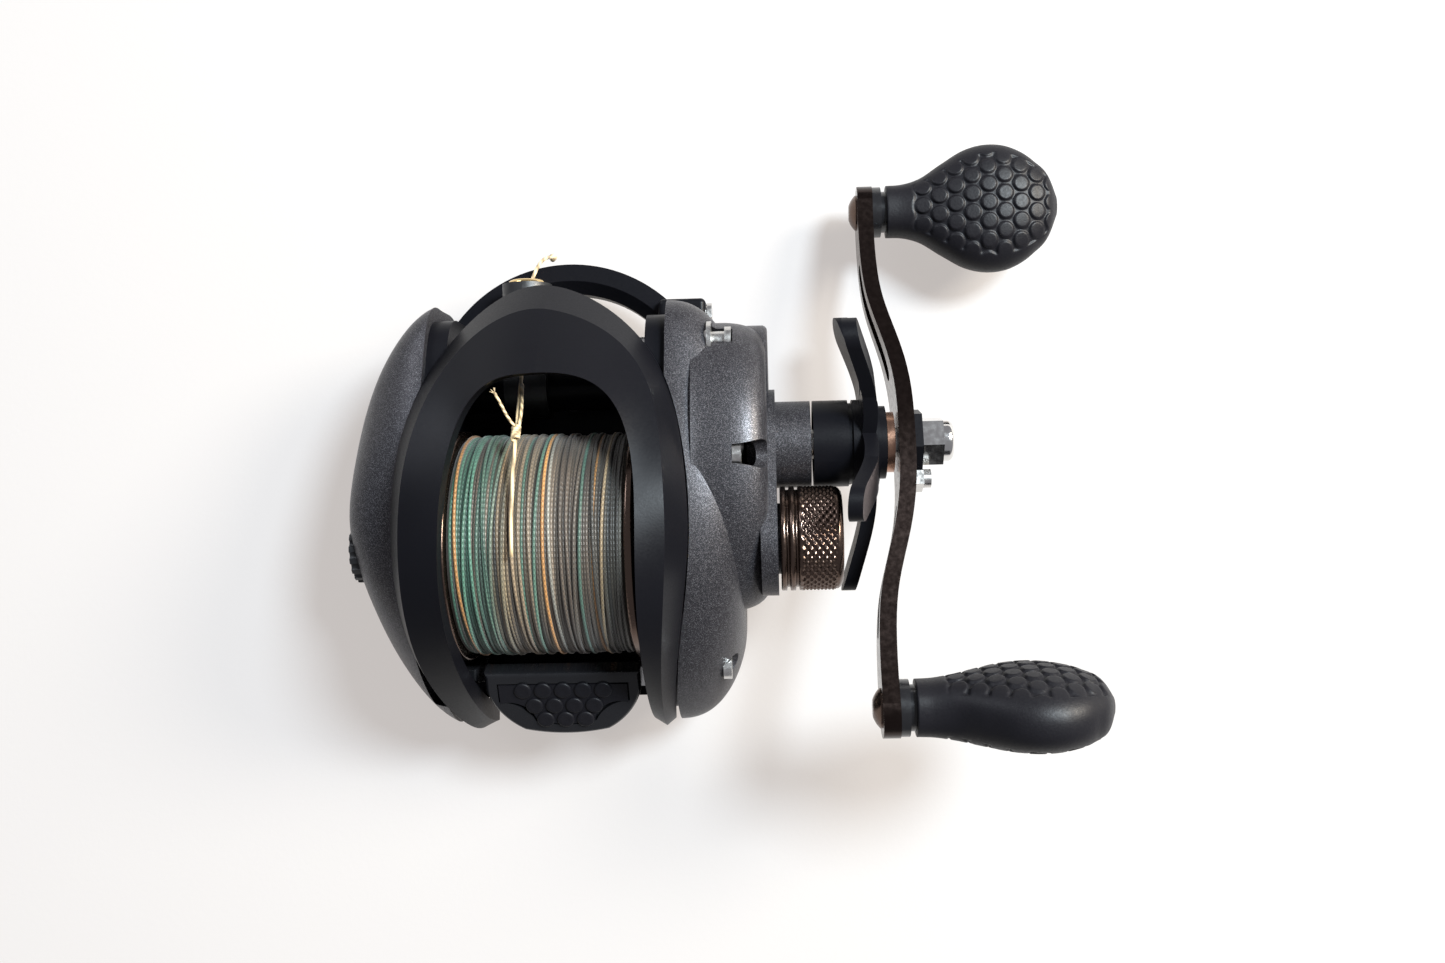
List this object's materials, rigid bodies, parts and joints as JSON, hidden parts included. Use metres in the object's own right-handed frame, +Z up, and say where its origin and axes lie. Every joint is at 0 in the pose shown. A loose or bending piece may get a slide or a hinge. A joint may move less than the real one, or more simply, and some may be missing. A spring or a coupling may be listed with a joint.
{
  "type": "baitcasting fishing reel",
  "caption": "Low-profile baitcasting reel with spool of line, level wind, star drag, thumb bar and twin-knob handle, on a foot for a rod's reel seat.",
  "frame": {"origin": "on the underside of the reel foot, directly below the spool axis, mid-spool", "axes": "+X towards the handle along the spool axis, +Y towards the rod tip, +Z up from the foot"},
  "size_m": [0.1171, 0.0979, 0.0502],
  "materials": {
    "black_satin": "satin black paint",
    "gunmetal": "metallic flake, satin",
    "black_gloss": "gloss black",
    "rubber_black": "matte, scale relief",
    "black_plastic": "matte black",
    "bronze": "bronze anodised, polished",
    "bronze_dark": "dark bronze anodised, polished",
    "copper_tint": "copper anodised",
    "bright_steel": "machined",
    "chrome": "polished",
    "brass": "machined",
    "alloy": "machined",
    "carbon": "woven drag washer",
    "gold_ring": "titanium nitride, polished",
    "braid": "braided multicolour line",
    "magnet": "nickel plated"
  },
  "bodies": {
    "frame": {"frame": "black_satin", "hood": "black_satin", "gear_side_cover": "gunmetal", "gear_cover_screws": "bright_steel", "reel_foot": "black_satin", "foot_rivets": "alloy", "front_lug_screw": "bright_steel", "cover_stud": "bright_steel", "drive_shaft_bearing": "bright_steel", "roller_clutch": "bright_steel", "worm_bushings": "black_plastic", "worm_guard": "black_satin", "guide_rod": "bright_steel", "yoke_posts": "bright_steel", "spool_bearing_right": "bright_steel"},
    "spool": {"spool": "bronze", "line_pack": "braid", "spool_shaft": "bright_steel", "spool_pin": "bright_steel", "brake_rotor": "alloy"},
    "handle": {"drive_shaft": "bright_steel", "drive_gear": "brass", "level_drive_gear": "black_plastic", "drag_washers": "carbon", "pressure_plate": "bright_steel", "clutch_tube": "bright_steel", "handle_spacer": "copper_tint", "handle_arm": "bronze_dark", "handle_nut_plate": "black_satin", "handle_nut": "chrome", "nut_lock_screw": "bright_steel", "knob_posts": "bronze", "knob_collars": "black_gloss"},
    "front_knob": {"front_knob": "rubber_black", "front_knob_bearings": "bright_steel"},
    "rear_knob": {"rear_knob": "rubber_black", "rear_knob_bearings": "bright_steel"},
    "star": {"star_drag": "black_satin"},
    "star_nut": {"star_nut": "brass"},
    "yoke": {"pinion_yoke": "black_plastic"},
    "pinion": {"pinion_gear": "brass"},
    "clutch_cam": {"clutch_cam": "alloy"},
    "thumb_bar": {"thumb_bar": "black_gloss", "thumb_pad": "rubber_black", "thumb_bar_pin": "bright_steel"},
    "worm": {"worm_shaft": "bright_steel", "worm_gear": "black_plastic"},
    "line_guide": {"line_guide_carriage": "black_plastic", "guide_ring": "gold_ring", "guide_pawl": "brass", "line_leader": "braid", "line_knot": "braid"},
    "tension_knob": {"tension_knob": "bronze"},
    "tension_shim": {"tension_shim": "brass"},
    "palm_cover": {"palm_side_cover": "gunmetal", "spool_bearing_left": "bright_steel"},
    "brake_dial": {"brake_dial": "black_plastic"},
    "magnet_carrier": {"magnet_carrier": "black_plastic", "brake_magnets": "magnet"},
    "release_lever": {"release_lever": "black_gloss"}
  },
  "joints": [
    {"name": "handle_turn", "type": "hinge", "parent": "frame", "child": "handle", "pos_m": [0.03, 0.015, 0.021], "axis": [1, 0, 0], "continuous": true},
    {"name": "spool_spin", "type": "hinge", "parent": "frame", "child": "spool", "pos_m": [0, 0, 0.026], "axis": [1, 0, 0], "continuous": true},
    {"name": "yoke_slide", "type": "slide", "parent": "frame", "child": "yoke", "axis": [1, 0, 0], "range_m": [0, 0.0015]},
    {"name": "pinion_spin", "type": "hinge", "parent": "yoke", "child": "pinion", "pos_m": [0.025, 0, 0.026], "axis": [1, 0, 0], "continuous": true},
    {"name": "worm_spin", "type": "hinge", "parent": "frame", "child": "worm", "pos_m": [0, 0.0255, 0.017], "axis": [1, 0, 0], "continuous": true},
    {"name": "thumb_bar_press", "type": "slide", "parent": "frame", "child": "thumb_bar", "axis": [0, 0, -1], "range_m": [0, 0.0035], "stiffness_N_per_m": 300, "springref_m": -0.001},
    {"name": "cam_turn", "type": "hinge", "parent": "frame", "child": "clutch_cam", "pos_m": [0.0195, 0, 0.026], "axis": [1, 0, 0], "range_deg": [0, 8.6]},
    {"name": "star_turn", "type": "hinge", "parent": "handle", "child": "star", "pos_m": [0.047, 0.015, 0.021], "axis": [1, 0, 0], "range_deg": [-180, 180]},
    {"name": "star_nut_slide", "type": "slide", "parent": "handle", "child": "star_nut", "axis": [1, 0, 0], "range_m": [-0.00036, 0.00036]},
    {"name": "front_knob_spin", "type": "hinge", "parent": "handle", "child": "front_knob", "pos_m": [0.07, 0.05541, 0.00629], "axis": [1, 0, 0], "continuous": true},
    {"name": "rear_knob_spin", "type": "hinge", "parent": "handle", "child": "rear_knob", "pos_m": [0.07, -0.02541, 0.03571], "axis": [1, 0, 0], "continuous": true},
    {"name": "tension_knob_turn", "type": "hinge", "parent": "frame", "child": "tension_knob", "pos_m": [0.04, 0, 0.026], "axis": [1, 0, 0], "range_deg": [-180, 180]},
    {"name": "tension_shim_slide", "type": "slide", "parent": "frame", "child": "tension_shim", "axis": [-1, 0, 0], "range_m": [-0.000375, 0.000375]},
    {"name": "palm_cover_slide", "type": "slide", "parent": "frame", "child": "palm_cover", "axis": [-1, 0, 0], "range_m": [0, 0.03]},
    {"name": "release_lever_turn", "type": "hinge", "parent": "frame", "child": "release_lever", "pos_m": [-0.0143, -0.021, 0.0186], "axis": [1, 0, 0], "range_deg": [0, 15], "stiffness_Nm_per_rad": 0.02},
    {"name": "brake_dial_turn", "type": "hinge", "parent": "palm_cover", "child": "brake_dial", "pos_m": [-0.03, 0, 0.026], "axis": [1, 0, 0], "range_deg": [0, 270]},
    {"name": "magnet_slide", "type": "slide", "parent": "palm_cover", "child": "magnet_carrier", "axis": [1, 0, 0], "range_m": [0, 0.0012]},
    {"name": "guide_slide", "type": "slide", "parent": "frame", "child": "line_guide", "axis": [1, 0, 0], "range_m": [-0.0053, 0.0155], "deforming": ["line_leader", "line_knot"]}
  ],
  "couplings": [
    {"joint": "spool_spin", "follows": "handle_turn", "ratio": -6.4},
    {"joint": "pinion_spin", "follows": "handle_turn", "ratio": -6.4},
    {"joint": "worm_spin", "follows": "handle_turn", "ratio": -0.83333},
    {"joint": "cam_turn", "follows": "thumb_bar_press", "rad_per_m": 42.4},
    {"joint": "yoke_slide", "follows": "thumb_bar_press", "ratio": 0.42},
    {"joint": "star_nut_slide", "follows": "star_turn", "m_per_rad": 0.0001114},
    {"joint": "tension_knob_turn", "follows": "tension_shim_slide", "rad_per_m": 8375},
    {"joint": "brake_dial_turn", "follows": "magnet_slide", "rad_per_m": 3926.9}
  ]
}
